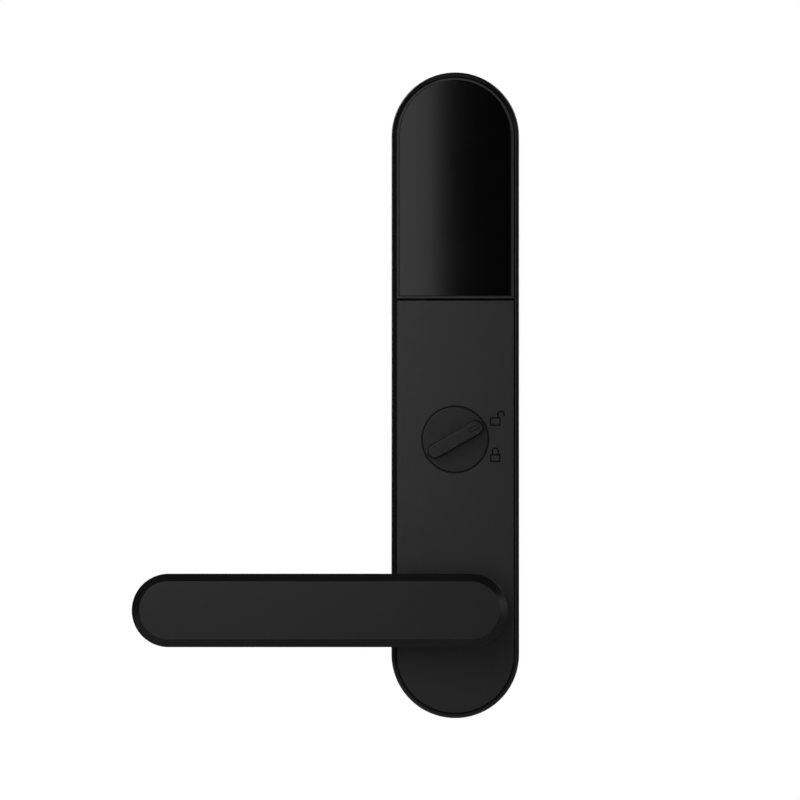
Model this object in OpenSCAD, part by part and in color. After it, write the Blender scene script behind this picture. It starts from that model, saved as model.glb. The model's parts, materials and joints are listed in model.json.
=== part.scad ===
// Keypad smart lock, room-side unit: an oblong escutcheon with a lever handle, a thumbturn
// that a geared motor can also turn, and a glossy battery cover held on by magnets.
//
// The origin is on the lever spindle's axis, at the face of the door. +Z is up and the
// front faces -Y. Each part is drawn lying flat, as [across, up, out from the door], and
// front() stands it up.

/* [Escutcheon] */
// Width across the housing
body_w = 69; // [68:0.5:74]
// Height of the top arc's centre above the spindle
top_arc = 255.8; // [255:0.2:262]
// Distance of the bottom arc's centre below the spindle
bottom_arc = 24.1; // [23:0.1:28]
// Distance of the housing's front edge from the door
body_d = 22; // [21.8:0.1:22.5]
// Thickness of the housing's side wall
wall = 2.25; // [2:0.05:2.5]
// Angle that the housing's outer edge turns inwards on its way to the front
rim_turn = 46; // [35:1:60]
// Height of the seam between the battery cover and the front plate
seam_h = 168; // [167:0.2:168.4]

/* [Lever] */
// Length of the grip from end to end
lever_l = 202.4; // [120:0.2:240]
// Height of the grip
lever_h = 39.5; // [34:0.1:44]
// Thickness of the grip
lever_t = 13; // [10:0.5:18]
// Distance of the grip's front face from the door
lever_front = 65; // [60:0.5:75]
// Distance from the spindle to the grip's short end
lever_end = 28.1; // [24:0.1:40]
// Width of the bevel round the front face
lever_bevel = 4.1; // [1:0.1:6]
// Radius of the neck
neck_r = 11; // [10:0.25:12]

/* [Thumbturn] */
// Height of the thumbturn above the spindle
turn_h = 92; // [92:0.1:92.6]
// Radius of the turning disc
disc_r = 17.6; // [16:0.1:18.5]
// Length of the finger bar
wing_l = 33.4; // [26:0.1:34]
// Width of the finger bar at its foot
wing_w = 8.3; // [6:0.1:10]
// Height of the finger bar above the disc
wing_rise = 9; // [5:0.5:14]
// Angle of the bar's marked end when unlocked
turn_rest = 30; // [0:5:45]

/* [Gear train] */
// Tooth size (module)
gear_m = 0.8; // [0.78:0.01:0.8]
// Teeth of the gear on the thumbturn's shaft
turn_teeth = 48; // [46:1:48]
// Teeth of the idler's large gear
idler_teeth = 36; // [34:1:36]
// Teeth of the idler's small gear, and of the motor pinion
small_teeth = 12; // [12:1:13]

/* [Batteries] */
// Diameter of a cell
cell_d = 14.5; // [14:0.1:14.5]
// Length of a cell with its contact stud
cell_l = 50.5; // [49:0.1:51]
// Distance between the centres of two cells
cell_pitch = 14.8; // [14.6:0.1:14.8]

/* [Hidden] */
$fn = 96;
e = 0.01;

// Housing and plates
r_out = body_w / 2;
r_open = r_out - wall;
plate_gap = 0.6;
r_plate = r_open - plate_gap;
floor_z = 2;
chamber_z = 4;
plate_t = 2.2;
face_z = body_d + 1;
plate_back = face_z - plate_t;
edge = 0.4;
skirt_z = 18.2;
skirt_t = 1.4;
seam_gap = 0.87;
lip_half = 16;
lip_z = 16.2;
lip_t = 0.9;
lip_end = seam_h + 2.6;
seal_t = 0.8;
recess_r = r_open - 0.25;
base_r = r_open - 0.55;

// Holes and posts in the floor, as [across, up]
fix_pitch = 38;
fix_r = 2.75;
top_fix_h = 171.5;
head_r = 5.25;
cable_at = [0, 116];
cable_w = 18;
cable_h = 6;
post_at = [[-27.5, 158], [27.5, 158], [-26, 28], [26, 28], [0, -42]];
post_r = 3.2;
pillar_at = [[-24, 100], [24, 100], [22, 50]];
pillar_r = 3.2;
board_post_at = [[-18.5, 125], [18.5, 125], [-18.5, 160], [18.5, 160]];
magnet_at = [[-18, 262], [18, 262], [-22, 173], [22, 173]];
magnet_r = 4;
magnet_t = 2;
magnet_z = 15.6;
radio_peg_at = [[-9, 248], [9, 248]];
hook_y = 268;
tab_y = -51;
tab_t = 2;
tab_w = 12;
lock_screw_z = 7.5;

// Lever, its bush and its return spring
neck_back = 17;
bush_r = 14;
run_gap = 0.05;
spindle_w = 8;
spindle_back = -40;
spindle_front = 43;
grub_z = 32;
hub_r = 7;
cup_r = 13;
cup_wall = 1.5;
cup_top = 13.8;
cover_top = 15.3;
ear_x = 17.5;
stop_r = 10;
stop_half = 9;
lever_travel = 45;
spring_r = 9.6;
spring_wire = 1.2;
spring_z = 7.6;
spring_turns = 4.25;
spring_pitch = 1.2;

// Thumbturn shaft and gear train
shaft_r = 5;
drive_w = 6.2;
blade_w = 6;
blade_t = 2;
blade_back = -42;
shaft_bush_r = 6.5;
layer_a = 4.9;
layer_b = 8.4;
bracket_z = 12.6;
bracket_t = 2;
bracket_top = bracket_z + bracket_t;
motor_at = [-13, 56];
motor_r = 12;
motor_z = 8.8;
motor_top = 18.6;
clamp_angle = 130;
clamp_reach = 16.2;
pressure_angle = 25;
backlash = 0.1;

// The idler sits where both of its centre distances are met
function pitch_r(teeth) = gear_m * teeth / 2;
reach_turn = pitch_r(turn_teeth) + pitch_r(small_teeth);
reach_motor = pitch_r(idler_teeth) + pitch_r(small_teeth);
turn_at = [0, turn_h];
span = norm(motor_at - turn_at);
span_angle = atan2(motor_at.y - turn_at.y, motor_at.x - turn_at.x);
idler_angle = span_angle
    + acos((pow(reach_turn, 2) + pow(span, 2) - pow(reach_motor, 2)) / (2 * reach_turn * span));
idler_at = turn_at + reach_turn * [cos(idler_angle), sin(idler_angle)];
motor_angle = atan2(motor_at.y - idler_at.y, motor_at.x - idler_at.x);

// Battery bay
tray_w = 61.8;
tray_y = 179;
tray_l = 62;
tray_wall = 1.2;
tray_floor = 1;
tray_top = 15;
contact_t = 0.4;
cell_z = 12.4;
bay_lo = tray_y + tray_wall + contact_t;
bay_hi = tray_y + tray_l - tray_wall - contact_t;
stud_l = 1;
touch = 0.1;

// Control board
board_w = 44;
board_y = 121;
board_l = 43;
board_z = 6.6;
board_t = 1.6;
board_top = board_z + board_t;

// Leads inside the housing, as points [across, up, out] along each route
motor_lead_route = [[-27.2, 56, 16.3], [-28.6, 57, 16.3], [-29, 62, 16.3], [-29, 80, 16.4],
    [-29, 100, 16.4], [-28.6, 110, 16], [-25, 116.5, 14], [-18, 118.5, 11.5],
    [-13, 119.2, 10.4], [-12, 121.4, 10.2]];
battery_lead_route = [[-10, 178.9, 9], [-10, 176, 9], [-12, 172.5, 9.6], [-12, 169, 10],
    [-10, 166.5, 10.2], [-10, 163.6, 10.2]];
lead_r = 0.8;

// ---- Shared shapes ----

// Stands a flat-drawn part up: its height above the door becomes -Y
module front() {
    rotate([90, 0, 0]) children();
}

// One edge profile, as [radius, height] points from back to front, carried round an
// oblong: turned about both arc centres and drawn straight between them
module oblong(profile, y0, y1) {
    last = profile[len(profile) - 1];
    turned = concat([[0, profile[0].y]], profile, [[0, last.y]]);
    across = concat(profile, [for (i = [len(profile) - 1:-1:0]) [-profile[i].x, profile[i].y]]);
    for (y = [y0, y1])
        translate([0, y, 0]) rotate_extrude() polygon(turned);
    translate([0, y1, 0]) rotate([90, 0, 0]) linear_extrude(y1 - y0) polygon(across);
}

// Points of a rounded edge, from the side wall at radius r to the face at height z; the
// round is `a` wide and `b` deep
function round_edge(r, z, a, b, steps) = [for (i = [0:steps]) let (t = 90 * i / steps)
    [r - a * (1 - cos(t)), z - b * (1 - sin(t))]];

// A straight-sided oblong between two heights
module oblong_slab(r, z0, z1, y0 = -bottom_arc, y1 = top_arc) {
    oblong([[r, z0], [r, z1]], y0, y1);
}

// A round rod or hole between two heights
module rod(at, r, z0, z1) {
    translate([at.x, at.y, z0]) cylinder(r = r, h = z1 - z0);
}

// A block between two corners
module block(low, high) {
    translate(low) cube(high - low);
}

// A flat bar of half-width r from point p to point q, and the same with round ends
module bar(p, q, r) {
    d = q - p;
    translate(p) rotate(atan2(d.y, d.x)) translate([0, -r]) square([norm(d), 2 * r]);
}
module strip(p, q, r) {
    for (c = [p, q]) translate(c) circle(r);
    bar(p, q, r);
}

// A sector of a disc, from angle a0 to a1
module sector(r, a0, a1) {
    mid = (a0 + a1) / 2;
    intersection() {
        circle(r);
        polygon([[0, 0], 3 * r * [cos(a0), sin(a0)], 3 * r * [cos(mid), sin(mid)],
            3 * r * [cos(a1), sin(a1)]]);
    }
}

// Screws along the height axis, with the shank's tip at z0 and the underside of the
// head at z1
module screws(places, z0, z1, r, head, head_t) {
    for (at = places) {
        rod(at, r, z0, z1 + e);
        difference() {
            rod(at, head, z1, z1 + head_t);
            translate([at.x, at.y, z1 + head_t / 2]) cylinder(r = r * 0.9, h = head_t, $fn = 6);
        }
    }
}

// An open retaining ring, with its gap pointing down
module circlip(at, r_in, r_ring, z0, z1) {
    translate([at.x, at.y, z0]) linear_extrude(z1 - z0) difference() {
        circle(r_ring);
        circle(r_in);
        sector(r_ring + 1, -90 - 28, -90 + 28);
    }
}

// A coil of round wire whose radius runs from r0 to r1
module coil(r0, r1, wire, turns, pitch) {
    steps = 20;
    sides = 6;
    n = round(turns * steps);
    points = [for (i = [0:n]) for (j = [0:sides - 1])
        let (t = i * 360 / steps, u = j * 360 / sides, r = r0 + (r1 - r0) * i / n)
        [(r + wire / 2 * cos(u)) * cos(t), (r + wire / 2 * cos(u)) * sin(t),
            pitch * i / steps + wire / 2 * sin(u)]];
    walls = [for (i = [0:n - 1]) for (j = [0:sides - 1])
        let (k = (j + 1) % sides)
        [i * sides + j, i * sides + k, (i + 1) * sides + k, (i + 1) * sides + j]];
    ends = [[for (j = [sides - 1:-1:0]) j], [for (j = [0:sides - 1]) n * sides + j]];
    polyhedron(points, concat(walls, ends));
}

// A round lead swept along a smooth curve through its route's points
function bend(a, b, c, d, t) = 0.5 * (2 * b + (c - a) * t + (2 * a - 5 * b + 4 * c - d) * t * t
    + (3 * b - a - 3 * c + d) * t * t * t);
function curve(p, n) = concat([for (i = [0:len(p) - 2]) for (k = [0:n - 1])
    bend(p[max(i - 1, 0)], p[i], p[i + 1], p[min(i + 2, len(p) - 1)], k / n)],
    [p[len(p) - 1]]);
function unit(v) = v / norm(v);
module lead(route, r) {
    sides = 8;
    path = curve(route, 3);
    n = len(path) - 1;
    points = [for (i = [0:n])
        let (along = unit(path[min(i + 1, n)] - path[max(i - 1, 0)]),
            side = unit(cross(along, [0, 0, 1])), up = cross(side, along))
        for (j = [0:sides - 1])
            path[i] + r * (cos(j * 360 / sides) * side + sin(j * 360 / sides) * up)];
    walls = [for (i = [0:n - 1]) for (j = [0:sides - 1])
        let (k = (j + 1) % sides)
        [i * sides + j, i * sides + k, (i + 1) * sides + k, (i + 1) * sides + j]];
    ends = [[for (j = [sides - 1:-1:0]) j], [for (j = [0:sides - 1]) n * sides + j]];
    polyhedron(points, concat(walls, ends));
}

// Involute spur gear outline
function involute(rb, r) = r <= rb ? 0 : sqrt(pow(r / rb, 2) - 1) * 180 / PI - acos(rb / r);
function tooth_side(teeth) =
    let (rp = pitch_r(teeth), rb = rp * cos(pressure_angle), top = rp + 0.9 * gear_m,
        root = rp - 1.2 * gear_m, foot = max(rb, root), steps = 4,
        half = 90 / teeth - backlash / rp * 90 / PI + involute(rb, rp))
    concat(rb > root ? [[root, half]] : [],
        [for (i = [0:steps]) let (r = foot + (top - foot) * i / steps)
            [r, half - involute(rb, r)]]);
module gear_outline(teeth) {
    side = tooth_side(teeth);
    n = len(side) - 1;
    polar = [for (k = [0:teeth - 1]) each concat(
        [for (i = [0:n]) [side[i].x, k * 360 / teeth - side[i].y]],
        [for (i = [n:-1:0]) [side[i].x, k * 360 / teeth + side[i].y]])];
    polygon([for (p = polar) p.x * [cos(p.y), sin(p.y)]]);
}
// Turns gear 2 so that its teeth fall in the gaps of gear 1, which is turned by a1; the
// line from gear 1 to gear 2 points along angle phi
function in_mesh(phi, a1, n1, n2) = phi + 180 - (360 / n2) * ((phi - a1) * -n1 / 360 + 0.5);

// ---- Escutcheon ----

module housing() {
    rim_w = wall - 0.05;
    rim_r = rim_w / (1 - cos(rim_turn));
    outer = concat([[r_out, 0]], [for (i = [0:8]) let (t = rim_turn * i / 8)
        [r_out - rim_r * (1 - cos(t)), body_d - rim_r * (sin(rim_turn) - sin(t))]]);
    color("#1c1c1d") front() difference() {
        union() {
            difference() {
                oblong(outer, -bottom_arc, top_arc);
                oblong_slab(r_open, chamber_z, body_d + 1);
                oblong_slab(recess_r, -1, floor_z);
            }
            for (at = pillar_at) rod(at, pillar_r, chamber_z - e, bracket_z);
            for (at = board_post_at) rod(at, 2.8, chamber_z - e, board_z);
            for (at = magnet_at) rod(at, magnet_r + 1.2, chamber_z - e, magnet_z + magnet_t);
            for (at = radio_peg_at) {
                rod(at, 2.2, chamber_z - e, 7);
                rod(at, 0.95, 7 - e, 8.8);
            }
            for (x = [-ear_x, ear_x]) rod([x, 0], 3, chamber_z - e, 7);
            rod(idler_at, 3, chamber_z - e, 4.6);
            block([-5, tab_y - 6.4, chamber_z - e], [5, tab_y - 2.5, 11]);
        }
        rod([0, 0], 8.5, 0, chamber_z + 1);
        rod(turn_at, shaft_bush_r, 0, chamber_z + 1);
        for (at = [[0, fix_pitch / 2], [0, -fix_pitch / 2], [0, top_fix_h]])
            rod(at, head_r, 0, chamber_z + 1);
        cable_cut(chamber_z + 1);
        for (at = post_at) {
            rod(at, 1.25, 0, chamber_z + 1);
            translate([at.x, at.y, floor_z - e]) cylinder(r1 = 2.5, r2 = 1.25, h = 1.25);
        }
        for (at = pillar_at) rod(at, 1.1, 5, bracket_z + 1);
        for (at = board_post_at) rod(at, 1.1, floor_z + 1, board_z + 1);
        for (at = magnet_at) rod(at, magnet_r, magnet_z, magnet_z + magnet_t + 1);
        for (x = [-ear_x, ear_x]) rod([x, 0], 1.1, floor_z + 1, 8);
        for (y = [tray_y + 16, tray_y + 46]) rod([0, y], 0.9, 0, chamber_z + 1);
        rod(idler_at, 1.5, floor_z + 0.6, 5);
        block([-tab_w / 2 - 0.5, hook_y - 4, 0], [tab_w / 2 + 0.5, hook_y + 1.5, chamber_z + 1]);
        block([-tab_w / 2 - 0.5, tab_y - 0.5, 0], [tab_w / 2 + 0.5, tab_y + tab_t + 0.5, 5]);
        translate([0, -bottom_arc - r_out - 1, lock_screw_z]) rotate([-90, 0, 0]) {
            cylinder(r = 1.6, h = 12);
            cylinder(r = 2.7, h = 2.2);
        }
    }
}

// The rounded slot for the cable to the street-side unit
module cable_cut(top) {
    linear_extrude(top)
        strip(cable_at - [(cable_w - cable_h) / 2, 0], cable_at + [(cable_w - cable_h) / 2, 0],
            cable_h / 2);
}

module mounting_plate() {
    color("#9a9da1") front() difference() {
        union() {
            oblong_slab(base_r, 0, floor_z);
            block([-tab_w / 2, tab_y, floor_z - e], [tab_w / 2, tab_y + tab_t, 11]);
            block([-tab_w / 2, hook_y, floor_z - e], [tab_w / 2, hook_y + 1.2, 5.4]);
            block([-tab_w / 2, hook_y, 4.2], [tab_w / 2, hook_y + 5, 5.4]);
        }
        rod([0, 0], 9, -1, floor_z + 1);
        rod(turn_at, 9, -1, floor_z + 1);
        for (at = [[0, fix_pitch / 2], [0, -fix_pitch / 2], [0, top_fix_h]])
            rod(at, fix_r, -1, floor_z + 1);
        translate([0, 0, -1]) cable_cut(floor_z + 2);
        translate([0, tab_y - 1, lock_screw_z]) rotate([-90, 0, 0]) cylinder(r = 1.5, h = 4);
    }
}

// A moulded cover that fills the housing's mouth from height y0 to y1, with a thin skirt
// behind its edge. Its straight ends are rounded over like its curved edge
module cover_shell(y0, y1) {
    side = round_edge(y1, face_z, edge, edge, 4);
    other = [for (i = [len(side) - 1:-1:0]) [y0 + y1 - side[i].x, side[i].y]];
    difference() {
        intersection() {
            oblong(concat([[r_plate, skirt_z]], round_edge(r_plate, face_z, edge, edge, 4)),
                -bottom_arc, top_arc);
            rotate([90, 0, 90]) linear_extrude(body_w, center = true)
                polygon(concat([[y0, skirt_z], [y1, skirt_z]], side, other));
        }
        intersection() {
            oblong_slab(r_plate - skirt_t, skirt_z - 1, plate_back);
            block([-body_w, y0 + skirt_t, 0], [body_w, y1 - skirt_t, face_z]);
        }
    }
}

// The padlock marks: each is a body outline and a shackle, open or closed
module pictogram_lines() {
    w = 0.68;
    translate([18.7, turn_h + 7.4]) {
        difference() {
            square([5.8, 4.6]);
            translate([w, w]) square([5.8 - 2 * w, 4.6 - 2 * w]);
        }
        translate([6, 6]) difference() {
            circle(2.2);
            circle(2.2 - w - 0.2);
            sector(4, -140, -25);
        }
    }
    translate([18.8, turn_h - 12.2]) {
        difference() {
            square([5.6, 4.2]);
            translate([w, w]) square([5.6 - 2 * w, 4.2 - 2 * w]);
        }
        difference() {
            union() {
                translate([2.8, 6]) circle(1.9);
                translate([0.9, 4.1]) square([3.8, 1.9]);
            }
            translate([2.8, 6]) circle(1.9 - w);
            translate([0.9 + w, 4]) square([3.8 - 2 * w, 2]);
        }
    }
}

module front_plate() {
    mark_depth = 0.4;
    ledge = neck_r + 6;
    top_edge = seam_h - seam_gap;
    color("#2a2a2b") front() difference() {
        union() {
            cover_shell(-bottom_arc - r_out, top_edge);
            for (at = post_at) rod(at, post_r, chamber_z, plate_back + e);
            // a lip behind the seam keeps light and dust out
            block([-lip_half, top_edge - skirt_t, lip_z], [lip_half, top_edge, skirt_z + e]);
            block([-lip_half, top_edge - skirt_t, lip_z], [lip_half, lip_end, lip_z + lip_t]);
            difference() {
                rod([0, 0], ledge, 18.4, plate_back + e);
                rod([0, 0], bush_r, 18, plate_back);
            }
        }
        rod([0, 0], bush_r, 18, face_z + 1);
        rod(turn_at, disc_r + 0.5, 18, face_z + 1);
        translate([0, turn_h, face_z - 0.3])
            cylinder(r1 = disc_r + 0.5, r2 = disc_r + 0.8, h = 0.3 + e);
        for (at = post_at) rod(at, 1.2, chamber_z - 1, 12);
        translate([0, 0, face_z - mark_depth]) linear_extrude(1) pictogram_lines();
    }
}

// A foam strip on the lip, under the seam
module seam_seal() {
    color("#0b0b0c") front() block([-lip_half, seam_h - seam_gap, lip_z + lip_t],
        [lip_half, lip_end, lip_z + lip_t + seal_t]);
}

module pictogram_inlays() {
    color("#0b0b0c") front()
        translate([0, 0, face_z - 0.4]) linear_extrude(0.3) pictogram_lines();
}

module front_plate_screws() {
    color("#8d9094") front() for (at = post_at) {
        rod(at, 1.2, floor_z, 11);
        difference() {
            translate([at.x, at.y, floor_z]) cylinder(r1 = 2.4, r2 = 1.2, h = 1.2);
            rod(at, 0.7, floor_z - 1, floor_z + 0.6);
        }
    }
}

module housing_lock_screw() {
    color("#8d9094") front()
        translate([0, -bottom_arc - r_out + 1.2, lock_screw_z]) rotate([-90, 0, 0])
        difference() {
            union() {
                translate([0, 0, -1.1]) cylinder(r = 1.5, h = 10.3);
                translate([0, 0, -1.1]) cylinder(r = 2.5, h = 1.1);
            }
            translate([0, 0, -2]) cylinder(r = 1, h = 1.7, $fn = 6);
        }
}

// ---- Lever and its return spring ----

module lever_bush() {
    color("#d8d4c8") front() difference() {
        union() {
            rod([0, 0], bush_r, 20, face_z);
            rod([0, 0], bush_r + 2, face_z, face_z + 0.8);
        }
        rod([0, 0], neck_r + run_gap, 19, face_z + 2);
    }
}

module lever() {
    back = lever_front - lever_t;
    r = lever_h / 2;
    rest = 1.2;
    grip = [[r - rest, back], [r, back + rest], [r, lever_front - lever_bevel],
        [r - lever_bevel, lever_front]];
    near = lever_end - r;
    far = lever_end - lever_l + r;
    color("#262627") front() difference() {
        union() {
            rotate([0, 0, 90]) oblong(grip, -near, -far);
            rod([0, 0], neck_r, neck_back, back + 1);
            translate([0, 0, back - 6]) cylinder(r1 = neck_r, r2 = neck_r + 4, h = 6 + e);
        }
        translate([0, 0, neck_back - 1]) linear_extrude(spindle_front - neck_back + 1.5)
            spindle_section();
        difference() {
            rod([0, 0], neck_r + 1, 18.7, 19.8);
            rod([0, 0], neck_r - 1.2, 18, 20.5);
        }
        translate([0, -neck_r - 1, grub_z]) rotate([-90, 0, 0])
            cylinder(r = 2.5, h = neck_r + 1 - spindle_w / 2);
    }
}

// The square bar's section, with its corners eased
module spindle_section() {
    intersection() {
        square(spindle_w, center = true);
        circle(spindle_w * 0.67);
    }
}

module spindle() {
    color("#b4b7ba") front() translate([0, 0, spindle_back])
        linear_extrude(spindle_front - spindle_back) spindle_section();
}

module grub_screw() {
    color("#3a3b3d") front()
        translate([0, -neck_r + 0.6, grub_z]) rotate([-90, 0, 0]) difference() {
            cylinder(r = 2.5, h = neck_r - 0.6 - spindle_w / 2);
            translate([0, 0, -e]) cylinder(r = 1.4, h = 2.5, $fn = 6);
        }
}

module lever_circlip() {
    color("#8d9094") front() circlip([0, 0], neck_r - 1.2, neck_r + 2, 18.75, 19.75);
}

module lever_hub() {
    color("#a9acb0") front() difference() {
        union() {
            rod([0, 0], hub_r, 4.2, cover_top - 0.1);
            rod([0, 0], hub_r + 1.2, 5.6, 6.6);
            translate([0, 0, cup_top + 0.1]) linear_extrude(cover_top - cup_top - 0.2)
                sector(stop_r, 90 - stop_half, 90 + stop_half);
        }
        translate([0, 0, 3]) linear_extrude(cover_top) spindle_section();
        translate([4, 0, spring_z + spring_turns * spring_pitch]) rotate([0, 90, 0])
            cylinder(r = 0.8, h = 4);
    }
}

module spring_cup() {
    color("#7c7f83") front() difference() {
        union() {
            rod([0, 0], cup_r, chamber_z, cup_top);
            translate([0, 0, 7]) linear_extrude(2) strip([-ear_x, 0], [ear_x, 0], 4);
        }
        rod([0, 0], cup_r - cup_wall, 5.4, cup_top + 1);
        rod([0, 0], hub_r + run_gap, 3, 6);
        for (x = [-ear_x, ear_x]) rod([x, 0], 1.35, 6, 10);
        block([-0.9, -cup_r - 1, spring_z - 0.9], [0.9, -cup_r + 3, spring_z + 0.9]);
    }
}

module spring_cup_cover() {
    color("#7c7f83") front() translate([0, 0, cup_top]) linear_extrude(cover_top - cup_top)
        difference() {
            circle(cup_r);
            circle(hub_r + run_gap);
            sector(stop_r + 0.3, 90 - stop_half - 0.6, 90 + stop_half + lever_travel + 0.6);
        }
}

module return_spring() {
    top = spring_z + spring_turns * spring_pitch;
    leg_r = spring_wire / 2 - 0.05;
    color("#c9ccd0") front() {
        translate([0, 0, spring_z]) rotate(-90)
            coil(spring_r, spring_r, spring_wire, spring_turns, spring_pitch);
        translate([0, -spring_r, spring_z]) rotate([90, 0, 0])
            cylinder(r = leg_r, h = cup_r - spring_r - 0.1, $fn = 12);
        translate([hub_r - 1.2, 0, top]) rotate([0, 90, 0])
            cylinder(r = leg_r, h = spring_r - hub_r + 1.2, $fn = 12);
    }
}

module spring_cup_screws() {
    color("#8d9094") front()
        screws([[-ear_x, 0], [ear_x, 0]], floor_z + 1.2, 9, 1.1, 2.2, 1.5);
}

// ---- Thumbturn ----

module thumbturn_knob() {
    foot_r = wing_w / 2;
    tip = wing_l / 2 - foot_r;
    top = face_z + wing_rise;
    draft = 0.5;
    round = 0.36;
    side = [[foot_r, face_z - 1], [foot_r, face_z], [foot_r - draft, top - round],
        [foot_r - draft - 0.1, top - 0.1], [foot_r - draft - round, top]];
    color("#262627") front() translate(turn_at) difference() {
        union() {
            rod([0, 0], disc_r + 1.9, 19, plate_back - 0.3);
            rod([0, 0], disc_r, plate_back - 0.4, face_z - 0.3);
            translate([0, 0, face_z - 0.3 - e])
                cylinder(r1 = disc_r, r2 = disc_r - 0.3, h = 0.3 + e);
            rod([0, 0], 7, 16.6, 19 + e);
            rotate(turn_rest - 90) oblong(side, -tip, tip);
        }
        translate([0, 0, 16]) linear_extrude(4.6) square(drive_w, center = true);
        rotate(turn_rest) translate([11.8, 0, top - 0.5]) indicator_shape(1);
    }
}

module indicator_shape(h) {
    linear_extrude(h) strip([-2.05, 0], [2.05, 0], 1.2);
}

module indicator_inlay() {
    color("#111112") front() translate([0, turn_h, face_z + wing_rise - 0.5])
        rotate(turn_rest) translate([11.8, 0, 0]) indicator_shape(0.2);
}

module thumbturn_shaft() {
    color("#b9bcc0") front() translate(turn_at) difference() {
        union() {
            rod([0, 0], shaft_r, -3, 16.4);
            translate([0, 0, 16.3]) linear_extrude(4.2) square(drive_w, center = true);
        }
        block([-blade_w / 2, -blade_t / 2, -4], [blade_w / 2, blade_t / 2, 6]);
        difference() {
            rod([0, 0], shaft_r + 1, 15.5, 16.2);
            rod([0, 0], shaft_r - 0.7, 15, 17);
        }
    }
}

module tailpiece() {
    color("#b4b7ba") front() translate(turn_at)
        block([-blade_w / 2, -blade_t / 2, blade_back], [blade_w / 2, blade_t / 2, 6]);
}

module shaft_circlip() {
    color("#8d9094") front() circlip(turn_at, shaft_r - 0.7, shaft_r + 2, 15.5, 16.2);
}

module shaft_bush(z0, z1, flange) {
    color("#b08d57") front() translate(turn_at) difference() {
        union() {
            rod([0, 0], shaft_bush_r, z0, z1 + flange);
            rod([0, 0], shaft_bush_r + 1.5, z1, z1 + flange);
        }
        rod([0, 0], shaft_r + run_gap, z0 - 1, z1 + 2);
    }
}

module thumbturn_rear_bush() {
    shaft_bush(floor_z, chamber_z, 0.7);
}

module thumbturn_front_bush() {
    shaft_bush(bracket_z, bracket_top, 0.7);
}

// ---- Motor drive ----

module turn_gear() {
    color("#e6e3d8") front() translate(turn_at) difference() {
        union() {
            translate([0, 0, layer_b]) linear_extrude(3) gear_outline(turn_teeth);
            rod([0, 0], 8, 6.5, 11.9);
        }
        rod([0, 0], shaft_r, 6, 13);
        for (a = [0:60:300]) rod(12.8 * [cos(a), sin(a)], 2.8, 8, 12);
    }
}

idler_turn = in_mesh(idler_angle, 0, turn_teeth, small_teeth);

module idler_gear() {
    color("#e6e3d8") front() translate(idler_at) rotate(idler_turn) difference() {
        union() {
            translate([0, 0, layer_a]) linear_extrude(2.4) gear_outline(idler_teeth);
            translate([0, 0, layer_a + 2]) linear_extrude(4.7) gear_outline(small_teeth);
        }
        rod([0, 0], 1.5 + run_gap, 4, 13);
    }
}

module idler_axle() {
    color("#b9bcc0") front() rod(idler_at, 1.5, floor_z + 0.6, bracket_top);
}

module motor_pinion() {
    turn = in_mesh(motor_angle, idler_turn, idler_teeth, small_teeth);
    color("#b08d57") front() translate(motor_at) rotate(turn) difference() {
        translate([0, 0, layer_a]) linear_extrude(2.4) gear_outline(small_teeth);
        rod([0, 0], 1, 4, 9);
    }
}

module motor_shaft() {
    color("#b9bcc0") front() rod(motor_at, 1, 4.4, 14.5);
}

module motor() {
    color("#a3a6aa") front() difference() {
        union() {
            rod(motor_at, motor_r, motor_z, motor_top - 0.6);
            translate([motor_at.x, motor_at.y, motor_top - 0.6 - e])
                cylinder(r1 = motor_r, r2 = motor_r - 0.6, h = 0.6);
            rod(motor_at, 3.5, motor_z - 0.9, motor_z + e);
            block([-27.2, 53.5, 15], [-23, 58.5, 17.6]);
        }
        rod(motor_at, 1 + run_gap, motor_z - 2, 15);
    }
}

// The motor's strap is screwed down at two places, one on each side of the motor
clamp_at = [for (s = [-1, 1]) motor_at + s * clamp_reach * [cos(clamp_angle), sin(clamp_angle)]];

module gearbox_bracket() {
    motor_cup_r = motor_r + 1.2;
    arm = 3.6;
    color("#2f3236") front() difference() {
        union() {
            translate([0, 0, bracket_z]) linear_extrude(bracket_t) {
                bar(pillar_at[0], pillar_at[1], arm);
                bar(pillar_at[0], motor_at, arm);
                bar(pillar_at[1], pillar_at[2], arm);
                bar(pillar_at[2], motor_at, arm);
                bar(turn_at, idler_at, arm);
                for (at = pillar_at) translate(at) circle(4.6);
                translate(turn_at) circle(9.5);
                translate(idler_at) circle(4.2);
                translate(motor_at) circle(motor_cup_r);
                for (at = clamp_at) {
                    bar(motor_at, at, 3);
                    translate(at) circle(3.6);
                }
            }
            rod(motor_at, motor_cup_r, motor_z - 1, bracket_z + 0.5);
            for (at = clamp_at) rod(at, 2.8, bracket_z + 0.5, motor_top);
        }
        rod(motor_at, motor_r + run_gap, motor_z, motor_top + 1);
        rod(motor_at, 4, motor_z - 2, motor_z + 1);
        rod(turn_at, shaft_bush_r, bracket_z - 1, bracket_top + 1);
        rod(idler_at, 1.5, bracket_z - 1, bracket_top + 1);
        for (at = pillar_at) rod(at, 1.35, bracket_z - 1, bracket_top + 1);
        for (at = clamp_at) rod(at, 0.9, 13.5, motor_top + 1);
    }
}

module gearbox_screws() {
    color("#8d9094") front() screws(pillar_at, 6, bracket_top, 1.1, 2.2, 1.5);
}

module motor_clamp() {
    color("#9a9da1") front() difference() {
        translate([0, 0, motor_top]) linear_extrude(1) strip(clamp_at[0], clamp_at[1], 3.2);
        for (at = clamp_at) rod(at, 1.1, motor_top - 1, motor_top + 2);
    }
}

module motor_clamp_screws() {
    color("#8d9094") front() screws(clamp_at, 14, motor_top + 1, 0.9, 1.8, 0.9);
}

module motor_lead() {
    color("#7a1f1c") front() lead(motor_lead_route, lead_r);
}

// ---- Control board ----

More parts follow.
